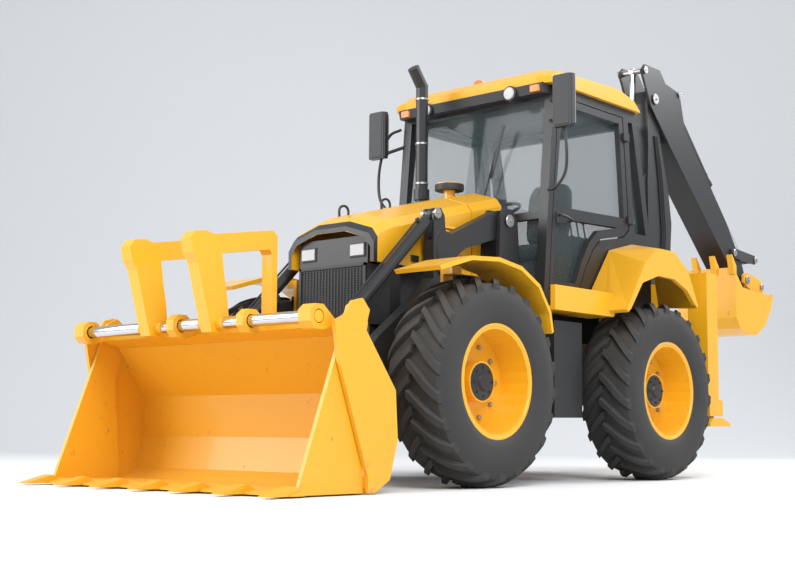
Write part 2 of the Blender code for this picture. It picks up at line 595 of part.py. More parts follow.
LUG_Z = ((0.660, 0.720), (1.500, 1.560))
CARRIAGE_FACE = -1.128


def carriage():
    """The plate that shifts sideways along the beams, with the two lugs of the swing pin."""
    solids = [box((CARRIAGE_FACE, RAIL_FACE - CLEAR), (-0.220, 0.220), (0.600, 1.700))]
    plan = [(CARRIAGE_FACE + 0.010, -0.110), (CARRIAGE_FACE + 0.010, 0.110), (SWING_X, 0.062),
            (SWING_X - 0.050, 0.035), (SWING_X - 0.050, -0.035), (SWING_X, -0.062)]
    for low, high in LUG_Z:
        solids.append(prism(plan, low, high, "z"))
    return piece("carriage", CAST, solids, pivot=(RAIL_FACE, 0, 1.150))


def kingpost(owner):
    """The swing casting: a barrel on the swing pin and two cheeks that hold the boom's foot and its cylinder."""
    low, high = LUG_Z[0][1] + CLEAR, LUG_Z[1][0] - CLEAR
    solids = [bar((SWING_X, 0, low), (SWING_X, 0, high), 0.075, 14)]
    solids.append(box((-1.400, SWING_X), (-0.060, 0.060), (low + 0.030, high - 0.030)))
    solids.append(box((-1.405, -1.360), (-0.150, 0.150), (low + 0.030, high - 0.030)))
    cheek = [(-1.360, low + 0.030), (-1.500, low + 0.090), (-1.620, 0.930), (-1.640, 1.010), (-1.600, 1.080),
             (-1.520, 1.300), (-1.500, 1.420), (-1.440, high - 0.030), (-1.360, high - 0.030)]
    for side in SIDES.values():
        solids.append(prism(cheek, *both(side, 0.126, 0.160)))
    ram_slot = box((-1.550, -1.375), (-0.064, 0.064), (1.230, high))
    return piece("kingpost", CAST, solids, cuts=[ram_slot], pivot=(SWING_X, 0, low), parent=owner)


BOOM_OUTLINE = [
    (-1.630, 0.950), (-1.650, 1.020), (-1.660, 1.200), (-1.760, 1.600), (-1.900, 2.050), (-1.930, 2.350),
    (-1.880, 2.650), (-1.740, 3.120), (-1.700, 3.450), (-1.660, 3.570), (-1.600, 3.595), (-1.540, 3.570),
    (-1.510, 3.450), (-1.520, 3.000), (-1.500, 2.700), (-1.500, 2.200), (-1.510, 1.300),
    (-1.490, 1.060), (-1.490, 0.950), (-1.560, 0.910),
]


def boom(owner):
    """The hollow-section boom, with the cheek brackets of both cylinders on its front face."""
    solids = [prism(BOOM_OUTLINE, -0.100, 0.100)]
    bracket = [(-1.500, 2.280), (-1.400, 2.340), (-1.370, 2.400), (-1.370, 2.480), (-1.290, 2.580), (-1.290, 2.640),
               (-1.350, 2.660), (-1.500, 2.780)]
    for side in SIDES.values():
        solids.append(prism(bracket, *both(side, 0.060, 0.085)))
    solids.append(eye(BOOM_FOOT, 0.085, 0.119, 0.0, 14))
    return piece("boom", YELLOW, solids, pivot=(BOOM_FOOT[0], 0, BOOM_FOOT[1]), parent=owner)


DIPPER_HEAD = [  # distance along the dipper from its pivot, distance above
    (-0.110, -0.060), (0.000, -0.105), (0.300, -0.110), (0.550, -0.110), (0.550, 0.240), (0.300, 0.400),
    (0.200, 0.400), (0.020, 0.280), (-0.060, 0.290), (-0.130, 0.290), (-0.330, 0.110), (-0.330, 0.020),
]
DIPPER_BOX = [
    (0.430, -0.115), (2.200, -0.095), (2.270, -0.080), (2.380, -0.050), (2.390, 0.030), (2.330, 0.080),
    (2.200, 0.130), (1.700, 0.200), (0.430, 0.250),
]


def dipper(owner):
    """The dipper: two head plates beside the boom's top, and the box section down to the bucket pin."""
    solids = [along(DIPPER_PIVOT, DIPPER_TIP, DIPPER_BOX, 0.130)]
    for side in SIDES.values():
        solids.append(along(DIPPER_PIVOT, DIPPER_TIP, DIPPER_HEAD, 0.0115, side * 0.1185))
    solids.append(eye(DIPPER_TIP, 0.060, 0.157))
    return piece("dipper", YELLOW, solids, pivot=(DIPPER_PIVOT[0], 0, DIPPER_PIVOT[1]), parent=owner)


HOE_SHELL = [
    (-2.780, 2.000), (-2.790, 1.500), (-2.870, 1.400), (-3.050, 1.350), (-3.220, 1.350), (-3.420, 1.460),
    (-3.560, 1.640), (-3.620, 1.780), (-3.590, 1.790), (-3.535, 1.660), (-3.400, 1.487), (-3.210, 1.378),
    (-3.055, 1.378), (-2.885, 1.424), (-2.818, 1.510), (-2.805, 2.000),
]
HOE_PLATE = [
    (-2.785, 1.960), (-2.790, 1.500), (-2.870, 1.400), (-3.050, 1.350), (-3.220, 1.350), (-3.420, 1.460),
    (-3.560, 1.640), (-3.620, 1.780), (-3.590, 1.775), (-2.940, 1.810),
]
HOE_EAR = [
    (-3.230, 1.900), (-3.230, 1.970), (-3.280, 2.000), (-3.340, 2.000), (-3.600, 1.950), (-3.680, 1.900),
    (-3.660, 1.740), (-3.600, 1.690), (-3.545, 1.650), (-3.500, 1.790), (-3.300, 1.860),
]
HOE_TOOTH = [(-2.815, 1.930), (-2.765, 1.930), (-2.715, 2.120), (-2.730, 2.120), (-2.820, 2.010)]


def hoe_bucket(owner):
    """The digging bucket: curved shell, side plates, two ears for its pins, and four teeth."""
    solids = [prism(HOE_SHELL, -0.320, 0.320)]
    for side in SIDES.values():
        solids.append(prism(HOE_PLATE, *both(side, 0.298, 0.3205)))
        solids.append(prism(HOE_EAR, *both(side, 0.163, 0.188)))
    for middle in (-0.290, -0.100, 0.100, 0.290):
        solids.append(prism(HOE_TOOTH, middle - 0.028, middle + 0.028))
    return piece("hoe_bucket", YELLOW, solids, pivot=(DIPPER_TIP[0], 0, DIPPER_TIP[1]), parent=owner)


def bucket_link(owner):
    """The lever pair beside the dipper's end, with the cross pin that the cylinder pushes."""
    reach = math.dist(LINK_PIVOT, LINK_NOSE)
    lever = [(-0.050, -0.030), (0.0, -0.050), (reach, -0.045), (reach + 0.045, 0.0), (reach, 0.045), (0.0, 0.050),
             (-0.050, 0.030)]
    solids = []
    for side in SIDES.values():
        solids.append(along(LINK_PIVOT, LINK_NOSE, lever, 0.009, side * 0.146))
        solids.append(eye(LINK_NOSE, 0.030, 0.060, side * 0.090))
    pivot = (LINK_PIVOT[0], 0, LINK_PIVOT[1])
    stay_at = (LINK_PIVOT[0] * 0.45 + LINK_NOSE[0] * 0.55, LINK_PIVOT[1] * 0.45 + LINK_NOSE[1] * 0.55)
    solids.append(eye(stay_at, 0.020, 0.150))
    return piece("bucket_link", CAST, solids, pivot=pivot, parent=owner)


# ---- the machine --------------------------------------------------------------------------------------------------
chassis()
engine()
axle("front_axle", WHEELBASE)
axle("rear_axle", 0.0)
for side_name, side in SIDES.items():
    front = wheel(f"front_{side_name}", WHEELBASE, side)
    wheel(f"rear_{side_name}", 0.0, side)
    front_fender(f"front_fender_{side_name}", side, front)
    rear_fender(f"rear_fender_{side_name}", side)
    door(f"door_{side_name}", side)
    leg(f"leg_{side_name}", side)
hood()
rear_cowl()
grille()
exhaust()
cab_frame()
cab_roof()
windscreen()
rear_glass()
seat()
rear_frame()

LOADER_ARMS = loader_arms()
BUCKET = bucket(LOADER_ARMS)
clam(BUCKET)
forks(BUCKET)
for side_name, side in SIDES.items():
    ram(f"lift_*_{side_name}", (LIFT_BASE, LIFT_EYE), side * ARM_Y, 1.040, 0.115, (0.042, 0.024), None)
    ram(f"tilt_*_{side_name}", (TILT_BASE, TILT_EYE), side * ARM_Y, 1.180, 0.350, (0.042, 0.024), LOADER_ARMS)

KINGPOST = kingpost(carriage())
BOOM = boom(KINGPOST)
DIPPER = dipper(BOOM)
hoe_bucket(DIPPER)
bucket_link(DIPPER)
ram("boom_*", BOOM_RAM, 0.0, 0.940, 0.140, (0.055, 0.030), KINGPOST)
ram("dipper_*", DIPPER_RAM, 0.0, 0.630, 0.540, (0.050, 0.028), BOOM)
ram("hoe_*", HOE_RAM, 0.0, 1.100, 0.640, (0.045, 0.025), DIPPER)
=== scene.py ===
# %% [markdown]
# A backhoe loader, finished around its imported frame.
# The frame holds every solid at its real size, in metres: +X is forward, +Y is the driver's left and +Z is up.
# This script adds what the plain solids leave out: tread, hubs, pins, hoses, lamps, handles, grille, cushions
# and a finish for every surface. Each new piece rides on the body that carries it, so it moves with its joint.

# %% Load the frame
import json
import math

import bpy
import numpy as np
from mathutils import Matrix, Vector


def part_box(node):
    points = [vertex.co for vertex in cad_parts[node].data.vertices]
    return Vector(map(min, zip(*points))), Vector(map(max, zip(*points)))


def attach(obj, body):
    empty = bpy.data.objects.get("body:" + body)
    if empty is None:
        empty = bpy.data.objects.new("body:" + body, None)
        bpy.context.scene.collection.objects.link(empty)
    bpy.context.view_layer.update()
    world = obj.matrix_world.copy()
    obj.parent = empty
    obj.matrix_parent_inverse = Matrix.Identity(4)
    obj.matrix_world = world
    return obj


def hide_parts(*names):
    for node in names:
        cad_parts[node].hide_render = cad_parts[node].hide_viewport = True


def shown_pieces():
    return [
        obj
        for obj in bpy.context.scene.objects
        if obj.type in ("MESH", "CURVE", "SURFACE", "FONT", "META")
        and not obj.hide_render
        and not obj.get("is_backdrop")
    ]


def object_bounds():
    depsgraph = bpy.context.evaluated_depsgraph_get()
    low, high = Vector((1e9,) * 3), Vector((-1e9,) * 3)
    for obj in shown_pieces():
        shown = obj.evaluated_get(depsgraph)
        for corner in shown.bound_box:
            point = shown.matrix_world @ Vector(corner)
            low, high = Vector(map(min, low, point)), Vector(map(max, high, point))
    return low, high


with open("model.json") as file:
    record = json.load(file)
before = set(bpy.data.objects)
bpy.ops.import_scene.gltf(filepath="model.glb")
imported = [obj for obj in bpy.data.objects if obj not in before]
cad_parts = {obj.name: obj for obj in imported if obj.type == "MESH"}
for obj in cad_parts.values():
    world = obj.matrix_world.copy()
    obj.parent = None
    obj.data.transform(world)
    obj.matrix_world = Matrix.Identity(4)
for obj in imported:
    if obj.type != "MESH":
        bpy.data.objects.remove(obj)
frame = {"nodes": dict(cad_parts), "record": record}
CAD_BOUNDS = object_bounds()
NODES = frame["nodes"]
SIDES = {"left": 1.0, "right": -1.0}


def centre(node):
    """Middle of a node's box at rest."""
    low, high = (np.array(corner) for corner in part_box(node))
    return (low + high) / 2


print(len(NODES), "nodes in the frame")

# %% [markdown]
# Colour on a machine is never even: dust settles on upward faces, paint rubs through in small random patches, and
# paint varies a little.
# Those effects are shared, so each is one node group, placed in every material with that material's values.

# %% Shared surface effects


def new_group(name, sockets):
    """An empty shader group: sockets holds (name, in or out, kind, default)."""
    group = bpy.data.node_groups.new(name, "ShaderNodeTree")
    for title, way, kind, value in sockets:
        made = group.interface.new_socket(title, in_out=way, socket_type=kind)
        if value is not None:
            made.default_value = value
    return group, group.nodes.new("NodeGroupInput"), group.nodes.new("NodeGroupOutput")


def dusty_group():
    """Puts out a colour with slow patches and settled dust, a roughness, and a fine height for a bump."""
    group, source, sink = new_group("weathered surface", [
        ("Colour", "INPUT", "NodeSocketColor", (0.5, 0.5, 0.5, 1)),
        ("Dust colour", "INPUT", "NodeSocketColor", (0.33, 0.29, 0.23, 1)),
        ("Dust", "INPUT", "NodeSocketFloat", 0.2),
        ("Roughness", "INPUT", "NodeSocketFloat", 0.4),
        ("Grain", "INPUT", "NodeSocketFloat", 60.0),
        ("Colour", "OUTPUT", "NodeSocketColor", None),
        ("Roughness", "OUTPUT", "NodeSocketFloat", None),
        ("Height", "OUTPUT", "NodeSocketFloat", None),
    ])
    nodes, link = group.nodes, group.links.new
    where = nodes.new("ShaderNodeTexCoord")
    patches = nodes.new("ShaderNodeTexNoise")
    patches.inputs["Scale"].default_value = 2.3
    patches.inputs["Detail"].default_value = 8.0
    patches.inputs["Roughness"].default_value = 0.65
    link(where.outputs["Object"], patches.inputs["Vector"])
    geometry = nodes.new("ShaderNodeNewGeometry")
    split = nodes.new("ShaderNodeSeparateXYZ")
    link(geometry.outputs["Normal"], split.inputs[0])
    upward = nodes.new("ShaderNodeMapRange")
    upward.inputs["From Min"].default_value = 0.0
    upward.inputs["From Max"].default_value = 1.0
    upward.inputs["To Min"].default_value = 0.25
    link(split.outputs["Z"], upward.inputs["Value"])
    amount = nodes.new("ShaderNodeMath")
    amount.operation = "MULTIPLY"
    link(upward.outputs[0], amount.inputs[0])
    link(patches.outputs["Fac"], amount.inputs[1])
    dust = nodes.new("ShaderNodeMath")
    dust.operation = "MULTIPLY"
    link(amount.outputs[0], dust.inputs[0])
    link(source.outputs["Dust"], dust.inputs[1])
    mix = nodes.new("ShaderNodeMix")
    mix.data_type = "RGBA"
    link(dust.outputs[0], mix.inputs["Factor"])
    link(source.outputs["Colour"], mix.inputs["A"])
    link(source.outputs["Dust colour"], mix.inputs["B"])
    link(mix.outputs["Result"], sink.inputs["Colour"])
    rough = nodes.new("ShaderNodeMath")
    rough.operation = "MULTIPLY_ADD"
    rough.inputs[1].default_value = 0.8
    rough.use_clamp = True
    link(dust.outputs[0], rough.inputs[0])
    link(source.outputs["Roughness"], rough.inputs[2])
    link(rough.outputs[0], sink.inputs["Roughness"])
    grain = nodes.new("ShaderNodeTexNoise")
    grain.inputs["Detail"].default_value = 4.0
    link(where.outputs["Object"], grain.inputs["Vector"])
    link(source.outputs["Grain"], grain.inputs["Scale"])
    link(grain.outputs["Fac"], sink.inputs["Height"])
    return group


def wear_group():
    """Puts out a noise mask of small rubbed patches; it does not know where the edges are."""
    group, source, sink = new_group("rubbed edges", [
        ("Amount", "INPUT", "NodeSocketFloat", 0.5), ("Mask", "OUTPUT", "NodeSocketFloat", None)])
    nodes, link = group.nodes, group.links.new
    where = nodes.new("ShaderNodeTexCoord")
    chips = nodes.new("ShaderNodeTexNoise")
    chips.inputs["Scale"].default_value = 14.0
    chips.inputs["Detail"].default_value = 10.0
    chips.inputs["Roughness"].default_value = 0.7
    link(where.outputs["Object"], chips.inputs["Vector"])
    sharp = nodes.new("ShaderNodeMapRange")
    sharp.inputs["From Min"].default_value = 0.62
    sharp.inputs["From Max"].default_value = 0.70
    link(chips.outputs["Fac"], sharp.inputs["Value"])
    mask = nodes.new("ShaderNodeMath")
    mask.operation = "MULTIPLY"
    link(sharp.outputs[0], mask.inputs[0])
    link(source.outputs["Amount"], mask.inputs[1])
    link(mask.outputs[0], sink.inputs["Mask"])
    return group


WEATHERED = dusty_group()
RUBBED = wear_group()

# %% [markdown]
# Every finish is one Principled shader fed by the groups. Paint has a clear coat, castings are rough and dull,
# rods are hard chrome, rubber is almost black with dust, and lamp glass and windows let light through.

# %% Finishes


def finish(name, colour, roughness, metallic=0.0, dust=0.2, grain=60.0, bump=0.02, coat=0.0, chips=0.0,
           under=(0.10, 0.08, 0.07)):
    """A weathered Principled finish. Chips show the colour under the paint, and bump is the grain's height."""
    made = bpy.data.materials.new(name)
    made.use_nodes = True
    nodes, link = made.node_tree.nodes, made.node_tree.links.new
    shader = nodes["Principled BSDF"]
    shader.inputs["Metallic"].default_value = metallic
    shader.inputs["Coat Weight"].default_value = coat
    shader.inputs["Coat Roughness"].default_value = 0.08
    surface = nodes.new("ShaderNodeGroup")
    surface.node_tree = WEATHERED
    surface.inputs["Colour"].default_value = (*colour, 1)
    surface.inputs["Dust"].default_value = dust
    surface.inputs["Roughness"].default_value = roughness
    surface.inputs["Grain"].default_value = grain
    result = surface.outputs["Colour"]
    if chips:
        worn = nodes.new("ShaderNodeGroup")
        worn.node_tree = RUBBED
        worn.inputs["Amount"].default_value = chips
        bare = nodes.new("ShaderNodeMix")
        bare.data_type = "RGBA"
        bare.inputs["B"].default_value = (*under, 1)
        link(worn.outputs["Mask"], bare.inputs["Factor"])
        link(result, bare.inputs["A"])
        result = bare.outputs["Result"]
    link(result, shader.inputs["Base Color"])
    link(surface.outputs["Roughness"], shader.inputs["Roughness"])
    height = nodes.new("ShaderNodeBump")
    height.inputs["Strength"].default_value = bump
    height.inputs["Distance"].default_value = 0.002
    link(surface.outputs["Height"], height.inputs["Height"])
    link(height.outputs["Normal"], shader.inputs["Normal"])
    return made


def clear_finish(name, colour, alpha, roughness=0.03):
    """Tinted glass: mostly see-through by its alpha, with metallic left at zero."""
    made = finish(name, colour, roughness, dust=0.05, bump=0.0)
    made.node_tree.nodes["Principled BSDF"].inputs["Alpha"].default_value = alpha
    return made


YELLOW_PAINT = finish("yellow paint", (0.86, 0.43, 0.012), 0.32, coat=0.35, dust=0.10, chips=0.10)
BUCKET_PAINT = finish("worn bucket paint", (0.82, 0.40, 0.012), 0.42, coat=0.15, dust=0.22, chips=0.55,
                      under=(0.16, 0.13, 0.11))
BLACK_PAINT = finish("satin black paint", (0.017, 0.018, 0.020), 0.40, dust=0.07, grain=90.0, chips=0.06)
CASTING = finish("dark casting", (0.045, 0.045, 0.047), 0.55, metallic=0.2, dust=0.14, grain=130.0, bump=0.25)
RUBBER = finish("tyre rubber", (0.024, 0.024, 0.025), 0.72, dust=0.22, grain=220.0, bump=0.20)
HOSE_RUBBER = finish("hose rubber", (0.012, 0.012, 0.013), 0.45, dust=0.04, grain=300.0, bump=0.10)
CHROME = finish("hard chrome", (0.62, 0.62, 0.63), 0.12, metallic=1.0, dust=0.0, bump=0.0)
STEEL = finish("bare steel", (0.42, 0.41, 0.40), 0.38, metallic=0.9, dust=0.10, grain=160.0, bump=0.12)
PLASTIC = finish("moulded plastic", (0.022, 0.023, 0.025), 0.50, dust=0.05, grain=420.0, bump=0.18)
CLOTH = finish("woven seat cloth", (0.055, 0.060, 0.066), 0.90, dust=0.02, grain=500.0, bump=0.45)
GLASS = clear_finish("tinted window glass", (0.10, 0.14, 0.15), 0.22)
LAMP_GLASS = clear_finish("lamp lens", (0.75, 0.76, 0.78), 0.60, 0.08)
AMBER = clear_finish("amber lens", (0.85, 0.22, 0.01), 0.90, 0.15)
RED_LENS = clear_finish("red lens", (0.50, 0.012, 0.010), 0.92, 0.15)
MIRROR = finish("mirror glass", (0.80, 0.82, 0.84), 0.03, metallic=1.0, dust=0.0, bump=0.0)
SLOT_FINISH = {"yellow_paint": YELLOW_PAINT, "black_paint": BLACK_PAINT, "castings": CASTING,
               "chrome_rod": CHROME, "tyre": RUBBER, "glass": GLASS, "seat_cloth": CLOTH}
OWN_FINISH = {"bucket": BUCKET_PAINT, "clam": BUCKET_PAINT, "hoe_bucket": BUCKET_PAINT}

for entry in frame["record"]["subparts"]:
    solid = NODES[entry["node"]]
    chosen = OWN_FINISH.get(entry["node"], SLOT_FINISH[entry["material_slot"]])
    solid.data.materials.clear()
    solid.data.materials.append(chosen)
print(len(bpy.data.materials), "finishes")

# %% [markdown]
# New pieces are grids of points. A tube is a ring carried along a path, a turned piece is a profile carried
# round an axis, and a plate is an outline pushed sideways. All three are worked out as whole arrays and joined
# into one mesh per piece, so that many bolts or ribs make a single object.

# %% Mesh helpers


def grid_faces(rows, columns, offset=0):
    """Quads of a rows by columns grid whose columns close on themselves."""
    row, column = np.meshgrid(np.arange(rows - 1), np.arange(columns), indexing="ij")
    after = (column + 1) % columns
    quads = np.stack([row * columns + column, row * columns + after, (row + 1) * columns + after,
                      (row + 1) * columns + column], axis=-1)
    return (quads.reshape(-1, 4) + offset).tolist()


def skin(rings):
    """(points, faces) of closed rings, an array (rows, columns, 3), with both ends capped by one face."""
    rows, columns, _ = rings.shape
    faces = grid_faces(rows, columns)
    faces.append(list(range(columns))[::-1])
    faces.append([(rows - 1) * columns + i for i in range(columns)])
    return rings.reshape(-1, 3), faces


def tube(path, radius, sides=10):
    """A ring carried along a path. Each ring lies across the path's local direction; radius may vary."""
    path = np.asarray(path, float)
    radius = np.broadcast_to(np.asarray(radius, float), (len(path),))
    ahead = np.gradient(path, axis=0)
    ahead /= np.linalg.norm(ahead, axis=1)[:, None]
    reference = np.array([0.0, 1.0, 0.0]) if abs(ahead[:, 1]).max() < 0.9 else np.array([1.0, 0.0, 0.31])
    across = np.cross(ahead, reference)
    across /= np.linalg.norm(across, axis=1)[:, None]
    third = np.cross(ahead, across)
    turn = np.linspace(0, 2 * math.pi, sides, endpoint=False)
    ring = across[:, None] * np.cos(turn)[None, :, None] + third[:, None] * np.sin(turn)[None, :, None]
    return skin(path[:, None] + ring * radius[:, None, None])


def smooth_path(points, steps=24):
    """A Catmull-Rom curve through the points: cubic blends of each four neighbours, steps per stretch."""
    points = np.asarray(points, float)
    padded = np.vstack([2 * points[0] - points[1], points, 2 * points[-1] - points[-2]])
    t = np.linspace(0, 1, steps, endpoint=False)[:, None]
    stretches = [0.5 * ((2 * b) + (c - a) * t + (2 * a - 5 * b + 4 * c - d) * t**2
                        + (3 * b - a - 3 * c + d) * t**3)
                 for a, b, c, d in zip(padded, padded[1:], padded[2:], padded[3:])]
    return np.vstack([*stretches, points[-1:]])


def turned(profile, at, axis="y", sides=32):
    """A profile of (radius, offset along the axis) carried round an axis through at."""
    profile = np.asarray(profile, float)
    turn = np.linspace(0, 2 * math.pi, sides, endpoint=False)
    radial, along = profile[:, 0][:, None], np.broadcast_to(profile[:, 1][:, None], (len(profile), sides))
    a, b = radial * np.cos(turn), radial * np.sin(turn)
    order = {"x": (along, a, b), "y": (b, along, a), "z": (a, b, along)}[axis]
    return skin(np.stack(order, axis=-1) + np.asarray(at, float))


def disc(at, axis, radius, low, high, sides=24, edge=0.15):
    """A round boss from low to high along an axis, with its outer edges bevelled by a share of its radius."""
    cut = min(edge * radius, 0.45 * abs(high - low))
    return turned([(radius - cut, low), (radius, low + cut), (radius, high - cut), (radius - cut, high)], at, axis,
                  sides)


def plate(outline, low, high, axis="y"):
    """A flat outline pushed from low to high along an axis."""
    outline = np.asarray(outline, float)
    rings = []
    for level in (low, high):
        flat = np.full(len(outline), level)
        order = {"x": (flat, outline[:, 0], outline[:, 1]), "y": (outline[:, 0], flat, outline[:, 1]),
                 "z": (outline[:, 0], outline[:, 1], flat)}[axis]
        rings.append(np.stack(order, axis=-1))
    return skin(np.stack(rings))


def block(low, high, cut=0.0):
    """A box between two corners whose upright edges are cut off by cut."""
    (x0, y0, z0), (x1, y1, z1) = low, high
    if not cut:
        return plate([(x0, y0), (x1, y0), (x1, y1), (x0, y1)], z0, z1, "z")
    return plate([(x0 + cut, y0), (x1 - cut, y0), (x1, y0 + cut), (x1, y1 - cut), (x1 - cut, y1), (x0 + cut, y1),
                  (x0, y1 - cut), (x0, y0 + cut)], z0, z1, "z")


def piece(name, parts, material, body, smooth=True):
    """Joins (points, faces) parts into one object that rides on a body and takes the finish it is given."""
    points, faces, start = [], [], 0
    for part_points, part_faces in parts:
        points.append(np.asarray(part_points, float))
        faces += [[start + i for i in face] for face in part_faces]
        start += len(part_points)
    mesh = bpy.data.meshes.new(name)
    mesh.from_pydata(np.vstack(points).tolist(), [], faces)
    made = bpy.data.objects.new(name, mesh)
    bpy.context.scene.collection.objects.link(made)
    outward(mesh)
    if smooth:
        mesh.shade_smooth()
        mesh.set_sharp_from_angle(angle=math.radians(38))
    mesh.materials.append(material)
    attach(made, body)
    return made


def outward(mesh):
    """Turns each closed shell's faces outwards."""
    import bmesh
    bm = bmesh.new()
    bm.from_mesh(mesh)
    bmesh.ops.recalc_face_normals(bm, faces=bm.faces)
    bm.to_mesh(mesh)
    bm.free()


# %% [markdown]
# A farm-type drive tyre has two rows of long slanted lugs that meet near the middle. Each lug is a bar bent
# over the crown, copied round the wheel by turning the whole array, with the two rows half a step apart.

# %% Tyres, rims and hubs
LUGS = 22
TYRE_RADIUS = (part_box("tyre_front_left")[1][2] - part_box("tyre_front_left")[0][2]) / 2


def lug_row(middle, way, phase):
    """Lugs of one row. A lug runs from the middle line to the shoulder while it turns back by its slant."""
    s = np.linspace(0.0, 1.0, 7)
    across = -0.012 + 0.222 * s
    slant = 0.34 * s**1.15
    crown = TYRE_RADIUS + 0.001 - 0.052 * np.clip(s - 0.55, 0, 1)**1.6 * 3.2
    root = crown - 0.050
    half = (0.030 + 0.008 * s) / TYRE_RADIUS
    parts = []
    for i in range(LUGS):
        start = 2 * math.pi * (i + phase) / LUGS
        corners = []
        for radius, offset in ((root, -1.25), (crown - 0.0012, -0.80), (crown - 0.0012, 0.80), (root, 1.25)):
            angle = start + slant + offset * half
            corners.append(np.stack([middle[0] + radius * np.sin(angle), middle[1] + way * across,
                                     middle[2] + radius * np.cos(angle)], axis=-1))
        parts.append(skin(np.stack(corners, axis=1)))
    return parts


for end in ("front", "rear"):
    for side, way in SIDES.items():
        hub = centre(f"tyre_{end}_{side}")
        body = f"wheel_{end}_{side}"
        carcass = [(0.372, -0.186), (0.392, -0.203), (0.440, -0.214), (0.520, -0.219), (0.590, -0.214),
                   (0.632, -0.196), (0.648, -0.150), (0.652, 0.0), (0.648, 0.150), (0.632, 0.196), (0.590, 0.214),
                   (0.520, 0.219), (0.440, 0.214), (0.392, 0.203), (0.372, 0.186), (0.372, -0.186)]
        columns, count = 64, len(carcass) - 1
        points = turned(carcass[:-1], hub, sides=columns)[0]
        faces = grid_faces(count, columns)
        faces += [[(count - 1) * columns + i, (count - 1) * columns + (i + 1) % columns, (i + 1) % columns, i]
                  for i in range(columns)]
        tyre = piece(f"treaded_tyre_{end}_{side}",
                     [(points, faces)] + lug_row(hub, 1.0, 0.0) + lug_row(hub, -1.0, 0.5), RUBBER, body)
        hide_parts(f"tyre_{end}_{side}")
        face_y = way * 0.066
        bolts = []
        for i in range(10):
            angle = 2 * math.pi * i / 10
            at = hub + np.array([0.245 * math.cos(angle), 0.0, 0.245 * math.sin(angle)])
            bolts.append(disc(at, "y", 0.017, way * -0.034, way * -0.004, 6))
        piece(f"wheel_bolts_{end}_{side}", bolts, STEEL, body)
        cap = [(0.0, face_y - way * 0.004), (0.118, face_y - way * 0.004), (0.124, face_y),
               (0.100, face_y + way * 0.010), (0.060, face_y + way * 0.012), (0.052, face_y + way * 0.026),
               (0.001, face_y + way * 0.028)]
        small = [disc(hub + np.array([0.095 * math.cos(a), 0, 0.095 * math.sin(a)]), "y", 0.008, face_y,
                      face_y + way * 0.018, 6) for a in np.linspace(0, 2 * math.pi, 8, endpoint=False)]
        piece(f"hub_cap_{end}_{side}", [turned(cap[1:], hub, sides=40)] + small, BLACK_PAINT, body)
        ring = [(0.349, way * 0.150), (0.376, way * 0.176), (0.386, way * 0.190), (0.378, way * 0.196),
                (0.362, way * 0.192), (0.346, way * 0.168)]
        points, _ = turned(ring, hub, sides=56)
        count, columns = len(ring), 56
        faces = grid_faces(count, columns)
        faces += [[(count - 1) * columns + i, (count - 1) * columns + (i + 1) % columns, (i + 1) % columns, i]
                  for i in range(columns)]
        piece(f"rim_flange_{end}_{side}", [(points, faces)], YELLOW_PAINT, body)
print("four treaded tyres with", 2 * LUGS, "lugs each")

# %% [markdown]
# The machine's joints turn on steel pins with a flanged head at each end and a grease nipple. They are the same
# part in many sizes, so one table gives each pin's place, its half length and the body that holds it.

# %% Pins
REAR_AXLE_X = centre("rear_axle")[0]


def placed(x, y, z):
    """A point given from the rear axle, in the frame's own coordinates."""
    return np.array([REAR_AXLE_X + x, y, z])


def pin(x, y, z, radius, reach):
    """A pin along Y: a shank, a wider head at both ends and a nipple on the outer one."""
    at = placed(x, y, z)
    parts = [turned([(radius, -reach), (radius, reach)], at, sides=20)]
    for way in (-1.0, 1.0):
        parts.append(disc(at, "y", radius * 1.5, way * reach, way * (reach + 0.012), 24))
        parts.append(disc(at, "y", radius * 0.28, way * (reach + 0.010), way * (reach + 0.022), 8))
    return parts


ARM_Y = abs(centre("lift_rod_left")[1])
ARM_PINS = [  # x, z, radius, half length, body
    (1.330, 1.915, 0.032, 0.092, "machine"), (1.120, 0.740, 0.026, 0.092, "machine"),
    (2.060, 1.484, 0.026, 0.052, "loader_arms"), (2.120, 1.875, 0.026, 0.052, "loader_arms"),
    (3.130, 0.330, 0.030, 0.088, "bucket"), (3.260, 0.800, 0.026, 0.088, "bucket"),
]
DIG_PINS = [  # x, z, radius, half length, body
    (-1.560, 1.000, 0.034, 0.142, "kingpost"), (-1.435, 1.340, 0.026, 0.142, "kingpost"),
    (-1.390, 2.420, 0.024, 0.092, "boom"), (-1.340, 2.600, 0.024, 0.092, "boom"),
    (-1.600, 3.495, 0.034, 0.136, "dipper"), (-1.428, 3.741, 0.024, 0.134, "dipper"),
    (-2.068, 3.636, 0.022, 0.134, "dipper"), (-3.300, 1.930, 0.028, 0.194, "hoe_bucket"),
    (-3.620, 1.880, 0.022, 0.194, "hoe_bucket"), (-3.100, 2.190, 0.024, 0.160, "bucket_link"),
    (-3.560, 2.160, 0.022, 0.160, "bucket_link"),
]
pins = {}
for x, z, radius, reach, body in ARM_PINS:
    for way in SIDES.values():
        pins.setdefault(body, []).extend(pin(x, way * ARM_Y, z, radius, reach))
for x, z, radius, reach, body in DIG_PINS:
    pins.setdefault(body, []).extend(pin(x, 0.0, z, radius, reach))
for body, parts in pins.items():
    piece(f"pins_{body}", parts, STEEL, body)

# %% [markdown]
# The fork shaft is bare ground steel between its rings, so a thin sleeve covers the painted solid.

# %% Fork shaft
shaft_at = placed(3.845, 0.0, 1.005)
sleeve = [turned([(0.0368, low), (0.0374, low + 0.002), (0.0374, high - 0.002), (0.0368, high)], shaft_at, "y", 32)
          for low, high in ((-1.080, -0.480), (-0.260, 0.110), (0.330, 1.080))]
piece("fork_shaft_sleeves", sleeve, CHROME, "forks")

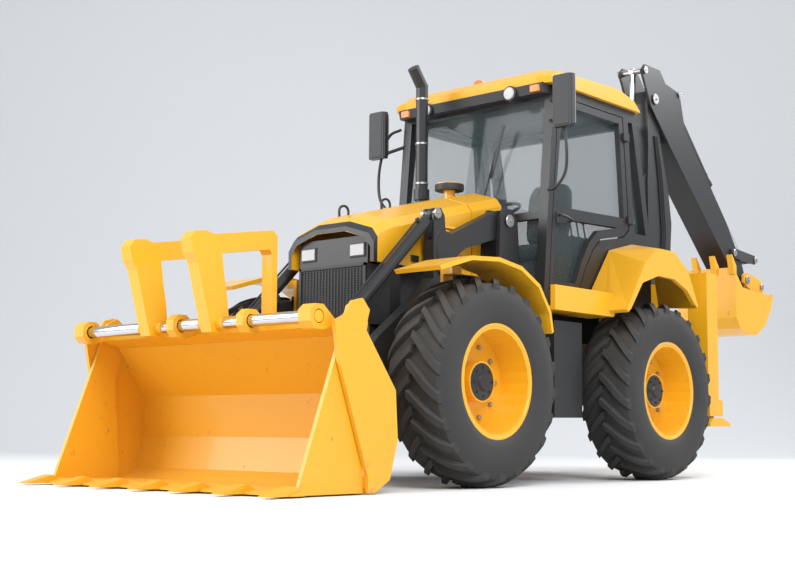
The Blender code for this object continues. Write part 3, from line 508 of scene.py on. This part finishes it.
# %% [markdown]
# A hydraulic cylinder has a screwed gland at its mouth and two hose ports. The gland is a turned ring round the
# rod, and it rides on the barrel. Rods stay as bright chrome solids.

# %% Cylinder glands and ports
RAMS = [  # barrel body, base (x, z), eye (x, z), distance of the mouth from the base, barrel radius, sides
    ("lift_barrels", (1.120, 0.740), (2.060, 1.484), 1.040, 0.042, (ARM_Y, -ARM_Y)),
    ("tilt_barrels", (2.120, 1.875), (3.260, 0.800), 1.180, 0.042, (ARM_Y, -ARM_Y)),
    ("boom_barrel", (-1.435, 1.340), (-1.390, 2.420), 0.940, 0.055, (0.0,)),
    ("dipper_barrel", (-1.340, 2.600), (-1.428, 3.741), 0.630, 0.050, (0.0,)),
    ("hoe_barrel", (-2.068, 3.636), (-3.560, 2.160), 1.100, 0.045, (0.0,)),
]
for body, base, tip, mouth, radius, sides in RAMS:
    along = np.array([tip[0] - base[0], 0.0, tip[1] - base[1]])
    along /= np.linalg.norm(along)
    up = np.array([-along[2], 0.0, along[0]])
    up *= 1.0 if up[2] > 0 else -1.0
    parts = []
    for y in sides:
        start = placed(base[0], y, base[1])
        for low, high, size in ((mouth - 0.055, mouth - 0.030, 1.10), (mouth - 0.030, mouth + 0.004, 1.16)):
            steps = np.array([low, low + 0.003, high - 0.003, high])[:, None]
            parts.append(tube(start + along * steps, radius * size * np.array([0.96, 1.0, 1.0, 0.96]), 28))
        for place in (0.150, mouth - 0.100):
            foot = start + along * place + up * radius * 0.8
            parts.append(tube([foot, foot + up * 0.018, foot + up * 0.036], [0.019, 0.019, 0.015], 12))
        line = [start + along * d + up * (radius + 0.018) for d in (0.150, 0.200, mouth - 0.150, mouth - 0.100)]
        parts.append(tube(line, 0.008, 8))
    piece(f"glands_{body}", parts, BLACK_PAINT, body)

# %% [markdown]
# Hoses carry oil across each pivot in a slack loop, and steel lines run along the arms and the boom between.
# A hose here is a tube along a smooth curve that stays on one body, ending in a fitting at the pivot.

# %% Hoses and steel lines


def hose(points, radius=0.011):
    """A rubber hose along a smooth curve, with a crimped collar at each end."""
    path = smooth_path(points, 10)
    parts = [tube(path, radius, 10)]
    for end, before in ((path[0], path[1]), (path[-1], path[-2])):
        way = (before - end) / np.linalg.norm(before - end)
        parts.append(tube([end, end + way * 0.012, end + way * 0.045], [radius * 1.5, radius * 1.5, radius * 1.3], 12))
    return parts


boom_lines, boom_hoses = [], []
for side, way in SIDES.items():
    for row in range(3):
        y = way * (0.108 + 0.0005 * row)
        shift = 0.032 * row
        boom_lines.append(tube([placed(-1.590 - shift, y, 1.300), placed(-1.680 - shift, y, 1.650),
                                placed(-1.740 - shift, y, 2.250), placed(-1.690 - shift, y, 2.750),
                                placed(-1.625 - shift * 0.6, y, 3.150)], 0.0075, 8))
    boom_hoses += hose([placed(-1.590, way * 0.110, 1.290), placed(-1.560, way * 0.120, 1.180),
                        placed(-1.530, way * 0.112, 1.110)])
piece("boom_lines", boom_lines, BLACK_PAINT, "boom")
piece("boom_hoses", boom_hoses, HOSE_RUBBER, "boom")

arm_lines, arm_hoses = [], []
for side, way in SIDES.items():
    inner = way * (ARM_Y - 0.055)
    for row in range(2):
        drop = 0.028 * row
        arm_lines.append(tube([placed(1.400, inner, 1.905 - drop), placed(1.940, inner, 1.690 - drop),
                               placed(2.030, inner, 1.640 - drop), placed(2.100, inner, 1.500 - drop),
                               placed(2.200, inner, 1.300 - drop), placed(2.650, inner, 0.960 - drop)], 0.0075, 8))
    arm_hoses += hose([placed(1.400, inner, 1.905), placed(1.350, inner, 1.860), placed(1.345, inner, 1.830)])
    arm_hoses += hose([placed(2.650, inner, 0.955), placed(2.800, inner, 0.900), placed(2.860, inner, 0.760)])
    outer = way * (ARM_Y + 0.000)
    arm_hoses += hose([placed(2.085, outer + way * 0.036, 1.760), placed(2.115, outer + way * 0.040, 1.660),
                       placed(2.100, outer + way * 0.038, 1.560)], 0.010)
piece("arm_lines", arm_lines, BLACK_PAINT, "loader_arms")
piece("arm_hoses", arm_hoses, HOSE_RUBBER, "loader_arms")

# %% [markdown]
# The hood is plain sheet with two lifting loops and pressed louvres on each side.
# The nose is a black frame with a perforated screen, drawn as many thin bars in one mesh.

# %% Hood and nose
hood_low, hood_high = (np.array(corner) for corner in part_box("hood"))
hood_rise = -0.25


def crown(x):
    """Height of the hood's top at x, from the seam's height and the fall of a quarter."""
    return hood_high[2] + hood_rise * (x - hood_low[0]) + 0.0


loops = []
for share in (0.46, 0.875):
    x = hood_low[0] + share * (hood_high[0] - hood_low[0])
    z = crown(x) - 0.006
    bend = [(x - 0.045, 0, z), (x - 0.045, 0, z + 0.045), (x - 0.020, 0, z + 0.070), (x + 0.020, 0, z + 0.066),
            (x + 0.045, 0, z + 0.040), (x + 0.045, 0, z - 0.010)]
    loops.append(tube(smooth_path(bend, 8), 0.009, 10))
piece("hood_lifting_loops", loops, BLACK_PAINT, "hood")

louvres = []
for way in SIDES.values():
    y = way * hood_high[1]
    for i in range(9):
        z = 1.560 + 0.032 * i
        x0, x1 = hood_low[0] + 0.120, hood_low[0] + 0.500
        louvres.append(plate([(y - way * 0.001, z), (y + way * 0.010, z - 0.003), (y + way * 0.011, z + 0.002),
                              (y - way * 0.001, z + 0.020)], x0, x1, "x"))
piece("hood_louvres", louvres, YELLOW_PAINT, "hood")
latch = [block((hood_low[0] + 0.60, way * hood_high[1] - 0.004, 1.535),
               (hood_low[0] + 0.68, way * hood_high[1] + 0.012, 1.580), 0.004) for way in SIDES.values()]
piece("hood_latches", latch, BLACK_PAINT, "hood")



def lip(x, top, inset):
    """The hood's edge at x, seen from the front: two flanks, two bevels and a flat middle."""
    half = 0.412 - inset
    low = 1.500
    return [placed(x, y, z) for y, z in ((-half, low), (-half, top - 0.13), (-half + 0.05, top - 0.065), (-0.15, top),
                                         (0.15, top), (half - 0.05, top - 0.065), (half, top - 0.13), (half, low))]


cap = [(0.020, 2.272), (0.090, 2.269), (0.112, 2.258), (0.114, 2.230), (0.111, 2.212), (0.050, 2.211)]
piece("pre_cleaner_cap", [turned(cap, placed(1.310, 0.0, 0.0), "z", 40)], PLASTIC, "machine")

edge = np.array([lip(2.585, 1.800, 0.0), lip(2.6225, 1.760, 0.0), lip(2.6235, 1.729, 0.032)])
edge_faces = [[8 * i + j, 8 * i + j + 1, 8 * i + j + 9, 8 * i + j + 8] for i in range(2) for j in range(7)]
piece("hood_black_lip", [(edge.reshape(-1, 3), edge_faces)], BLACK_PAINT, "hood", smooth=False)

nose_low, nose_high = (np.array(corner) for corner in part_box("grille"))
bars = []
for z in np.arange(1.130, 1.480, 0.016):
    bars.append(block((nose_high[0] - 0.001, -0.300, z), (nose_high[0] + 0.007, 0.300, z + 0.006)))
for y in np.arange(-0.300, 0.301, 0.030):
    bars.append(block((nose_high[0] + 0.001, y - 0.002, 1.120), (nose_high[0] + 0.009, y + 0.002, 1.480)))
for y0, y1, z0, z1 in ((-0.320, 0.320, 1.480, 1.500), (-0.320, 0.320, 1.100, 1.120), (-0.320, -0.300, 1.1, 1.5),
                       (0.300, 0.320, 1.1, 1.5)):
    bars.append(block((nose_high[0] - 0.001, y0, z0), (nose_high[0] + 0.014, y1, z1)))
piece("nose_screen", bars, PLASTIC, "machine")
lamps, lenses = [], []
for way in SIDES.values():
    at = (nose_high[0] - 0.003, way * 0.235, 1.590)
    lamps.append(block((at[0] - 0.010, at[1] - 0.075, 1.545), (at[0] + 0.012, at[1] + 0.075, 1.640), 0.008))
    lenses.append(block((at[0] + 0.010, at[1] - 0.064, 1.555), (at[0] + 0.016, at[1] + 0.064, 1.630), 0.003))
piece("nose_lamp_frames", lamps, PLASTIC, "machine")
piece("nose_lamp_lenses", lenses, LAMP_GLASS, "machine")

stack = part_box("exhaust")
stack_x, stack_y = stack[0][0] + 0.060, (stack[0][1] + stack[1][1]) / 2
clamps = [turned([(0.050, z), (0.053, z), (0.053, z + 0.014), (0.050, z + 0.014)], (stack_x, stack_y, 0.0), "z", 28)
          for z in (2.300, 2.620, 2.980)]
piece("exhaust_clamps", clamps, STEEL, "machine")

# %% [markdown]
# The cab is where most small parts are: a visor, lamps, a beacon, mirrors in arms, grab rails, wipers, handles
# and black hinge plates on the door posts. Straight ones are plates, and rails are tubes along bent paths.

# %% Cab outside
roof_low, roof_high = (np.array(corner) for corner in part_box("cab_roof"))
visor = plate([(roof_high[0] - 0.120, 2.985), (roof_high[0] - 0.004, 3.002), (roof_high[0] + 0.010, 2.994),
               (roof_high[0] - 0.010, 2.925), (roof_high[0] - 0.130, 2.925)], -0.720, 0.720, "y")
piece("roof_visor", [visor], PLASTIC, "machine")
housings, faces_, amber = [], [], []
for way in SIDES.values():
    for x, y in ((roof_high[0] + 0.015, way * 0.420), (roof_low[0] + 0.060, way * 0.500)):
        ahead = 1.0 if x > 0.3 else -1.0
        at = np.array([x, y, 2.955])
        shell = [(0.052, 0.0), (0.060, ahead * 0.012), (0.060, ahead * 0.050), (0.052, ahead * 0.056)]
        housings.append(turned(shell, at - np.array([ahead * 0.050, 0, 0]), "x", 28))
        faces_.append(turned([(0.050, 0.0), (0.044, ahead * 0.008), (0.002, ahead * 0.012)],
                             at + np.array([ahead * 0.005, 0, 0]), "x", 28))
    amber.append(block((roof_high[0] - 0.030, way * 0.650 - 0.045, 2.935),
                       (roof_high[0] + 0.016, way * 0.650 + 0.045, 2.985), 0.010))
piece("work_lamp_housings", housings, PLASTIC, "machine")
piece("work_lamp_lenses", faces_, LAMP_GLASS, "machine")
piece("roof_indicators", amber, AMBER, "machine")
beacon_at = placed(0.550, -0.300, 0.0)
stem = [(0.036, roof_high[2] - 0.040), (0.036, 3.130), (0.058, 3.136), (0.060, 3.160), (0.046, 3.166)]
piece("beacon_base", [turned(stem, beacon_at, "z", 32)], PLASTIC, "machine")
dome = [(0.050, 3.162), (0.052, 3.200), (0.050, 3.255), (0.040, 3.285), (0.020, 3.298), (0.002, 3.300)]
piece("beacon_dome", [turned(dome, beacon_at, "z", 32)], AMBER, "machine")

rails, shells, panes, seals = [], [], [], []
for side, way in SIDES.items():
    rails.append(tube(smooth_path([placed(1.020, way * 0.755, 2.860), placed(1.060, way * 0.860, 2.800),
                                   placed(1.090, way * 0.930, 2.550), placed(1.090, way * 0.930, 2.300),
                                   placed(1.085, way * 0.840, 2.180), placed(1.065, way * 0.755, 2.170)], 10),
                      0.012, 10))
    low, high = placed(1.066, way * 0.930 - 0.088, 2.630), placed(1.150, way * 0.930 + 0.088, 3.010)
    shells.append(block(low, high, 0.025))
    panes.append(block((low[0] - 0.004, low[1] + 0.014, low[2] + 0.016), (low[0] + 0.004, high[1] - 0.014,
                                                                       high[2] - 0.016), 0.001))
    for z in (1.620, 2.080, 2.760):
        x = -0.100 + 0.087 * (z - 2.000) + 0.012
        seals.append(block(placed(x - 0.055, way * 0.760 - 0.012, z - 0.030),
                           placed(x + 0.030, way * 0.760 + 0.012, z + 0.030), 0.005))
piece("grab_rails", rails, BLACK_PAINT, "machine")
piece("mirror_shells", shells, PLASTIC, "machine")
piece("mirror_faces", panes, MIRROR, "machine")
piece("door_post_plates", seals[1:3] + seals[4:], BLACK_PAINT, "machine")

for side, way in SIDES.items():
    y = way * 0.752
    handle = [placed(0.800, y, 1.960), placed(0.800, y + way * 0.035, 1.970), placed(0.920, y + way * 0.038, 1.990),
              placed(0.935, y, 1.995)]
    parts = [tube(smooth_path(handle, 8), 0.011, 10), block(placed(0.780, y - 0.006, 1.935),
                                                            placed(0.955, y + 0.006, 2.020), 0.003)]
    piece(f"door_{side}_handle", parts, PLASTIC, f"door_{side}")

wipers = [tube(smooth_path([placed(1.075, 0.020, 2.000), placed(1.062, 0.150, 2.200), placed(1.030, 0.240, 2.560)], 8),
               0.006, 8), disc(placed(1.070, 0.020, 2.000), "x", 0.022, -0.010, 0.018, 16)]
wipers.append(plate([(0.180, 2.330), (0.205, 2.325), (0.330, 2.730), (0.308, 2.737)], *(placed(1.005, 0, 0)[0]
                    + np.array([0.028, 0.036])), "x"))
piece("windscreen_wiper", wipers, PLASTIC, "machine")

# %% [markdown]
# Inside, the driver has a wheel on the column, levers on both consoles and a padded seat. The seat is the only
# soft part. Its cushions are closed crowned forms, swollen by a short cloth run.

# %% Cab inside
wheel_at = placed(0.690, 0.0, 2.130)
angle = np.linspace(0, 2 * math.pi, 41)
lean = np.array([math.cos(math.radians(62)), 0.0, math.sin(math.radians(62))])
ring = wheel_at + 0.185 * (np.cos(angle)[:, None] * np.array([0.0, 1.0, 0.0])
                           + np.sin(angle)[:, None] * np.array([-lean[2], 0.0, lean[0]]))
parts = [tube(ring, 0.014, 12), tube([wheel_at - lean * 0.100, wheel_at - lean * 0.010], 0.024, 14)]
for way in (0, 2 * math.pi / 3, 4 * math.pi / 3):
    rim_point = wheel_at + 0.182 * (math.cos(way) * np.array([0.0, 1.0, 0.0])
                                    + math.sin(way) * np.array([-lean[2], 0.0, lean[0]]))
    parts.append(tube([wheel_at - lean * 0.030, rim_point], 0.010, 8))
knob = wheel_at - 0.150 * np.array([-lean[2], 0.0, lean[0]]) + lean * 0.04
parts.append(tube([knob, knob + lean * 0.012, knob + lean * 0.045, knob + lean * 0.060],
                  [0.012, 0.020, 0.020, 0.008], 14))
piece("steering_wheel", parts, PLASTIC, "machine")

levers = []
for way in SIDES.values():
    for i, x in enumerate((0.060, 0.160, 0.260)):
        foot, top = placed(x, way * 0.430, 1.910), placed(x + 0.020, way * 0.415, 2.060 + 0.015 * i)
        levers += [tube([foot, top], 0.007, 8), tube([top, top + [0, 0, 0.012], top + [0, 0, 0.045],
                                                      top + [0, 0, 0.058]], [0.010, 0.019, 0.018, 0.006], 14),
                   tube([foot + [0, 0, -0.002], foot + [0, 0, 0.020], foot + [0, 0, 0.040]], [0.034, 0.024, 0.010],
                        14)]
piece("console_levers", levers, PLASTIC, "machine")

# %% Seat cushions


def cushion(name, low, high, lean_back=0.0, quilts=3):
    """A crowned closed form: half widths shrink towards the faces as a rounded power curve, then lean and quilt."""
    low, high = np.asarray(low, float), np.asarray(high, float)
    middle, half = (low + high) / 2, (high - low) / 2
    rows, columns = 28, 56
    v = np.linspace(-math.pi / 2, math.pi / 2, rows)[:, None]
    u = np.linspace(0, 2 * math.pi, columns, endpoint=False)[None, :]

    def power(value, share):
        return np.sign(value) * np.abs(value)**share

    x = half[0] * power(np.cos(v), 0.35) * power(np.cos(u), 0.35)
    y = half[1] * power(np.cos(v), 0.35) * power(np.sin(u), 0.35)
    z = half[2] * power(np.sin(v), 0.55) * np.ones_like(u)
    groove = 1 - 0.10 * np.exp(-((np.mod(y / half[1] * quilts, 1.0) - 0.5) / 0.10)**2)
    z = z * groove
    points = np.stack([x, y, z], axis=-1)
    points[..., 0] -= lean_back * points[..., 2]
    points = points + middle
    points, faces = skin(points[1:-1])
    made = piece(name, [(points, faces)], CLOTH, "machine")
    swell(made)
    return made


def swell(made, cap=0.012):
    """Remeshes the cushion, lets pressure push the cloth out over twenty frames, and keeps each move under cap."""
    bpy.context.view_layer.objects.active = made
    made.select_set(True)
    remesh = made.modifiers.new("Remesh", "REMESH")
    remesh.mode, remesh.voxel_size = "VOXEL", 0.006
    bpy.ops.object.modifier_apply(modifier=remesh.name)
    count = len(made.data.vertices)
    before = np.empty(count * 3)
    made.data.vertices.foreach_get("co", before)
    cloth = made.modifiers.new("Cloth", "CLOTH")
    cloth.settings.use_pressure = True
    cloth.settings.uniform_pressure_force = 4.0
    cloth.settings.effector_weights.gravity = 0.0
    for frame_number in range(1, 21):
        bpy.context.scene.frame_set(frame_number)
    graph = bpy.context.evaluated_depsgraph_get()
    after = np.empty(count * 3)
    made.evaluated_get(graph).data.vertices.foreach_get("co", after)
    made.modifiers.remove(cloth)
    bpy.context.scene.frame_set(1)
    move = (after - before).reshape(-1, 3)
    length = np.linalg.norm(move, axis=1)[:, None]
    move *= np.minimum(1.0, cap / np.maximum(length, 1e-9))
    made.data.vertices.foreach_set("co", (before.reshape(-1, 3) + move).ravel())
    made.data.update()
    made.data.shade_smooth()
    made.select_set(False)


seat_low, seat_high = (np.array(corner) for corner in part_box("seat"))
base = cushion("seat_cushion", (seat_low[0] + 0.130, -0.225, seat_low[2] + 0.010),
               (seat_high[0] - 0.015, 0.225, seat_low[2] + 0.140))
back = cushion("seat_back", (seat_low[0] + 0.080, -0.215, seat_low[2] + 0.170),
               (seat_low[0] + 0.190, 0.215, seat_high[2] - 0.010), 0.14)
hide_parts("seat")
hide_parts("seat")
print("seat cushions padded")

# %% [markdown]
# The machine stands on a plain pale floor that curves up behind it. Three large soft lights and a pale world give
# the even light of a studio.

# %% Floor and light
scene = bpy.context.scene
GROUND = CAD_BOUNDS[0][2]
YAW, PITCH, ROLL = math.radians(221.39), math.radians(6.32), math.radians(0.43)
AWAY = np.array([math.cos(YAW), math.sin(YAW), 0.0])
ACROSS = np.array([-AWAY[1], AWAY[0], 0.0])
profile = [(-40.0, 0.0), (9.0, 0.0)] + [(9.0 + 8.0 * math.sin(a), 8.0 * (1 - math.cos(a)))
                                        for a in np.linspace(0.1, math.pi / 2, 14)] + [(17.0, 30.0)]
points = np.array([[AWAY * s + ACROSS * w + np.array([0, 0, GROUND + h]) for w in (-45.0, 45.0)] for s, h in profile])
sweep_mesh = bpy.data.meshes.new("floor")
count = len(profile)
sweep_mesh.from_pydata(points.reshape(-1, 3).tolist(), [],
                       [(2 * i, 2 * i + 1, 2 * i + 3, 2 * i + 2) for i in range(count - 1)])
sweep_mesh.shade_smooth()
floor = bpy.data.objects.new("floor", sweep_mesh)
scene.collection.objects.link(floor)
pale = bpy.data.materials.new("pale_floor")
pale.use_nodes = True
pale.node_tree.nodes["Principled BSDF"].inputs["Base Color"].default_value = (0.80, 0.80, 0.80, 1.0)
pale.node_tree.nodes["Principled BSDF"].inputs["Roughness"].default_value = 0.75
sweep_mesh.materials.append(pale)
floor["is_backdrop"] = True


def soft_light(name, at, target, size, power):
    """A square area light at a point, turned to face a target."""
    light = bpy.data.lights.new(name, "AREA")
    light.energy, light.size = power, size
    made = bpy.data.objects.new(name, light)
    made.location = at
    made.rotation_euler = (Vector(target) - Vector(at)).to_track_quat("-Z", "Y").to_euler()
    scene.collection.objects.link(made)
    return made


soft_light("key", (7.0, 7.5, 8.5), (0.5, 0.0, 1.4), 6.0, 1000)
soft_light("fill", (9.0, -6.0, 5.0), (0.5, 0.0, 1.4), 6.0, 650)
soft_light("rim", (-7.0, 3.0, 8.0), (-0.5, 0.0, 2.0), 5.0, 700)
world = bpy.data.worlds.new("studio")
scene.world = world
world.use_nodes = True
world.node_tree.nodes["Background"].inputs["Color"].default_value = (0.86, 0.90, 0.96, 1.0)
world.node_tree.nodes["Background"].inputs["Strength"].default_value = 0.75

# %% Camera
look = np.array([math.cos(YAW) * math.cos(PITCH), math.sin(YAW) * math.cos(PITCH), math.sin(PITCH)])
right = np.cross(look, [0.0, 0.0, 1.0])
right /= np.linalg.norm(right)
up = np.cross(right, look)
turned_right = right * math.cos(ROLL) + up * math.sin(ROLL)
turned_up = up * math.cos(ROLL) - right * math.sin(ROLL)
lens = bpy.data.cameras.new("camera")
lens.sensor_width, lens.lens = 36.0, 58.91
camera = bpy.data.objects.new("camera", lens)
axes = np.stack([turned_right, turned_up, -look], axis=1)
stand = placed(9.020, 6.266, 0.370)
camera.matrix_world = Matrix([[*axes[i], stand[i]] for i in range(3)] + [[0.0, 0.0, 0.0, 1.0]])
scene.collection.objects.link(camera)
scene.camera = camera
scene.render.engine = "CYCLES"
scene.cycles.samples = 96
scene.cycles.use_denoising = True
scene.render.resolution_x, scene.render.resolution_y = 795, 572
scene.render.resolution_percentage = 100
scene.view_settings.view_transform = "Standard"

# %% Sizes and end
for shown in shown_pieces():
    reach = np.array([shown.matrix_world @ Vector(corner) for corner in shown.bound_box])
    over = max((np.array(CAD_BOUNDS[0]) - reach.min(0)).max(), (reach.max(0) - np.array(CAD_BOUNDS[1])).max())
    if over > 0.0005:
        print("outside the frame's box:", shown.name, round(float(over), 4))
